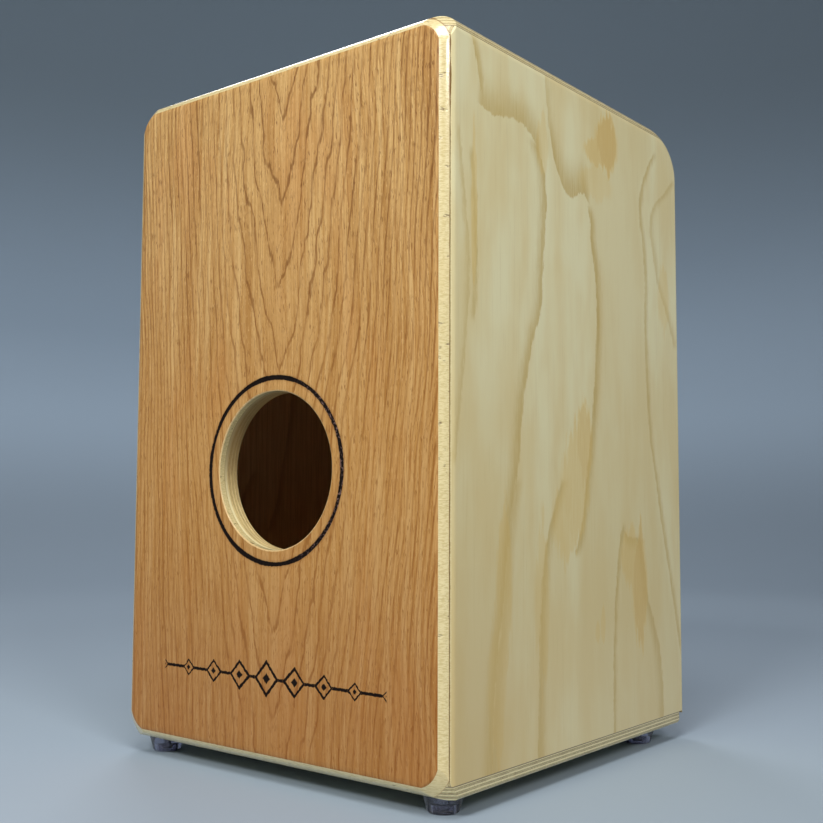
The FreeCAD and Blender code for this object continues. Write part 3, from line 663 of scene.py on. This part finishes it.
def dress_all():
    softwood = [softwood_material("softwood_" + letter, axis) for axis, letter in enumerate("xyz")]
    zinc, brass = zinc_material(), brass_material()
    dress(back_veneer_material(), "back_veneer")
    dress(tapa_veneer_material(), "tapa_veneer")
    dress(back_panel_material(), "back_panel")
    dress(side_board_material(), "side_panel_left", "side_panel_right")
    dress(seat_board_material(), "seat_panel")
    dress(floor_board_material(), "floor_panel")
    dress(hole_ring_material(), "sound_hole_ring")
    dress(tapa_board_material(), "tapa")
    dress(softwood[0], "thigh_rail", "front_batten_lower", "back_batten_upper", "back_batten_lower")
    dress(softwood[1], "seat_batten_left", "seat_batten_right", "floor_batten_left", "floor_batten_right")
    dress(softwood[2], "front_batten_left", "front_batten_right", "back_batten_left", "back_batten_right")
    rubber = clear_rubber_material()
    dress(rubber, "foot_rear_left", "foot_rear_right", "foot_front_left", "foot_front_right")
    dress(zinc, "tapa_screws", "foot_screws", "foot_washers", "guide_screws", "anchor_screws",
          "tension_washers", "tension_guide_left", "tension_guide_right")
    dress(black_oxide_material(), "tension_screw_left", "tension_screw_right")
    dress(brass, "tension_carriage_left", "tension_carriage_right", "string_anchor")


# ---------------------------------------------------------------- snare strings
STRING_RADIUS, TWIST_RADIUS, BARREL_RADIUS = 0.5, 0.85, 2.0
TWIST_LENGTH, TWIST_FADE = 16.0, 3.0
STRING_STEPS, STRING_SIDES, BARREL_SIDES = 120, 12, 24
UPPER_MARGIN, LOWER_MARGIN = 6.0, 18.0    # lengths at a string's upper and lower ends


def ring_of(bm, centre, out, side, radius, sides):
    """One ring of vertices round centre, in the plane of out and side."""
    ring = []
    for turn in range(sides):
        angle = 2 * math.pi * turn / sides
        place = centre + (out * math.cos(angle) + side * math.sin(angle)) * radius
        ring.append(bm.verts.new(place / PER_MM))
    return ring


def skin_between(bm, rings):
    for first, second in zip(rings, rings[1:]):
        for turn in range(len(first)):
            after = (turn + 1) % len(first)
            bm.faces.new((first[turn], first[after], second[after], second[turn]))


def lathe_along(bm, start, axis, profile, sides):
    """A closed turned form: profile = ((distance along the axis, radius), ...)."""
    out = axis.orthogonal().normalized()
    side = axis.cross(out)
    rings = [ring_of(bm, start + axis * along, out, side, radius, sides) for along, radius in profile]
    skin_between(bm, rings)
    bm.faces.new(list(reversed(rings[0])))
    bm.faces.new(rings[-1])


def string_profile(length):
    """Radius along a string: the doubled twist near each ball end, then the plain wound string."""
    profile = []
    for step in range(STRING_STEPS + 1):
        along = length * step / STRING_STEPS
        from_end = min(along, length - along)
        blend = min(max((from_end - TWIST_LENGTH) / TWIST_FADE, 0.0), 1.0)
        profile.append((along, TWIST_RADIUS + (STRING_RADIUS - TWIST_RADIUS) * blend))
    return profile


def make_string(number):
    """One wound string with its ball ends, fixed to the shell above and to its carriage below."""
    node = "snare_string_%d" % number
    low, high = edges_of(node)
    goes_right = number % 2 == 0
    y_string = low.y + BARREL_RADIUS
    low_x = low.x + BARREL_RADIUS if goes_right else high.x - BARREL_RADIUS
    high_x = high.x - BARREL_RADIUS if goes_right else low.x + BARREL_RADIUS
    lower = Vector((low_x, y_string, low.z + BARREL_RADIUS))
    upper = Vector((high_x, y_string, high.z - BARREL_RADIUS))
    bm = bmesh.new()
    span = upper - lower
    lathe_along(bm, lower, span.normalized(), string_profile(span.length), STRING_SIDES)
    half = high.y - y_string
    barrel = ((-BARREL_RADIUS, 1.55), (-1.75, 1.9), (-1.3, BARREL_RADIUS), (-0.5, 1.8),
              (0.1, BARREL_RADIUS), (half - 0.25, 1.9), (half, 1.6))
    for end in (lower, upper):
        lathe_along(bm, end, Vector((0, 1, 0)), barrel, BARREL_SIDES)
    bm.normal_update()
    mesh = bpy.data.meshes.new("wound_string_%d" % number)
    bm.to_mesh(mesh)
    bm.free()
    for polygon in mesh.polygons:
        polygon.use_smooth = len(polygon.vertices) == 4
    piece = bpy.data.objects.new("wound_string_%d" % number, mesh)
    bpy.context.collection.objects.link(piece)
    piece.data.materials.append(string_material)
    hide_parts(node)
    end = lower + Vector((0, 0, LOWER_MARGIN))
    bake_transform(piece)


# ---------------------------------------------------------------- studio
LENS = 48.74                  # focal length, in mm


def make_camera():
    """Low, from the right of the sound hole, looking slightly up."""
    data = bpy.data.cameras.new("camera")
    data.lens = LENS
    camera = bpy.data.objects.new("camera", data)
    bpy.context.collection.objects.link(camera)
    back = Vector((0.6251, -0.7768, -0.0761)).normalized()
    right = Vector((0.0447, -0.0616, 0.9971)).cross(back).normalized()
    turn = Matrix((right, back.cross(right), back)).transposed().to_4x4()
    camera.matrix_world = Matrix.Translation((0.5513, -0.6892, 0.1912)) @ turn
    bpy.context.scene.camera = camera


def studio_material():
    """Matt paper with painted shade: paler where the floor turns into the wall, darker above and to one
    side.
    """
    shade = Shade("studio_paper")
    # Painted light and shade: a paler band where the floor bends up into the wall, darker above it.
    low, high = shade.z.smooth(80, 500), shade.z.smooth(600, 1900)
    # Painted shadow: the paper darkens towards one side.
    away = (shade.x * 0.78 + shade.y * 0.63).smooth(-200, 2600)
    colour = shade.mix(low, (0.32, 0.39, 0.47, 1), (0.52, 0.64, 0.77, 1))
    colour = shade.mix(high, colour, (0.28, 0.34, 0.39, 1))
    colour = shade.mix(away * 0.28, colour, (0.04, 0.05, 0.06, 1))
    return shade.finish(colour, 0.75)


def make_floor():
    """A round paper floor that curves up into a wall on every side."""
    flat_radius, bend_radius, wall_height, segments, bend_steps = 1.6, 2.0, 4.0, 96, 24
    profile = [(flat_radius * 0.5, 0.0), (flat_radius, 0.0)]
    for step in range(1, bend_steps + 1):
        angle = math.pi / 2 * step / bend_steps
        profile.append((flat_radius + bend_radius * math.sin(angle), bend_radius * (1 - math.cos(angle))))
    profile.append((flat_radius + bend_radius, wall_height))
    bm = bmesh.new()
    rings = []
    for radius, height in profile:
        ring = []
        for turn in range(segments):
            angle = 2 * math.pi * turn / segments
            ring.append(bm.verts.new((radius * math.cos(angle), radius * math.sin(angle), height)))
        rings.append(ring)
    bm.faces.new(rings[0])
    for inner, outer in zip(rings, rings[1:]):
        for turn in range(segments):
            after = (turn + 1) % segments
            bm.faces.new((inner[turn], outer[turn], outer[after], inner[after]))
    for face in bm.faces:
        face.smooth = True
    mesh = bpy.data.meshes.new("studio_floor")
    bm.to_mesh(mesh)
    bm.free()
    floor = bpy.data.objects.new("studio_floor", mesh)
    bpy.context.collection.objects.link(floor)
    floor.data.materials.append(studio_material())


def soft_light(name, place, aim, size, power, colour=(1, 1, 1)):
    data = bpy.data.lights.new(name, "AREA")
    data.shape = "RECTANGLE"
    data.size, data.size_y = size
    data.energy = power
    data.color = colour
    light = bpy.data.objects.new(name, data)
    light.location = place
    light.rotation_euler = (Vector(aim) - Vector(place)).to_track_quat("-Z", "Y").to_euler()
    bpy.context.collection.objects.link(light)


def make_lights():
    middle = (0, 0, 0.25)
    soft_light("key", (0.30, -1.9, 1.55), middle, (0.7, 0.45), 30.5, (1.0, 0.99, 0.95))
    soft_light("top_key", (0.55, -0.80, 1.95), middle, (0.5, 0.7), 13, (1.0, 0.99, 0.95))
    soft_light("side_key", (1.8, -0.85, 1.45), middle, (0.6, 0.6), 19.5, (1.0, 0.97, 0.93))
    soft_light("rear_fill", (-1.4, 1.0, 2.1), middle, (0.9, 0.9), 14)
    world = bpy.data.worlds.new("studio_air")
    world.use_nodes = True
    background = world.node_tree.nodes["Background"]
    background.inputs["Color"].default_value = (0.80, 0.86, 0.95, 1)
    background.inputs["Strength"].default_value = 0.27
    bpy.context.scene.world = world
    bpy.context.scene.view_settings.view_transform = "Standard"


string_material = wound_string_material()
dress_all()
for string_number, string_body in ((1, "tension_carriage_left"), (2, "tension_carriage_left"),
                                   (3, "tension_carriage_right"), (4, "tension_carriage_right")):
    make_string(string_number)
make_camera()
make_floor()
make_lights()
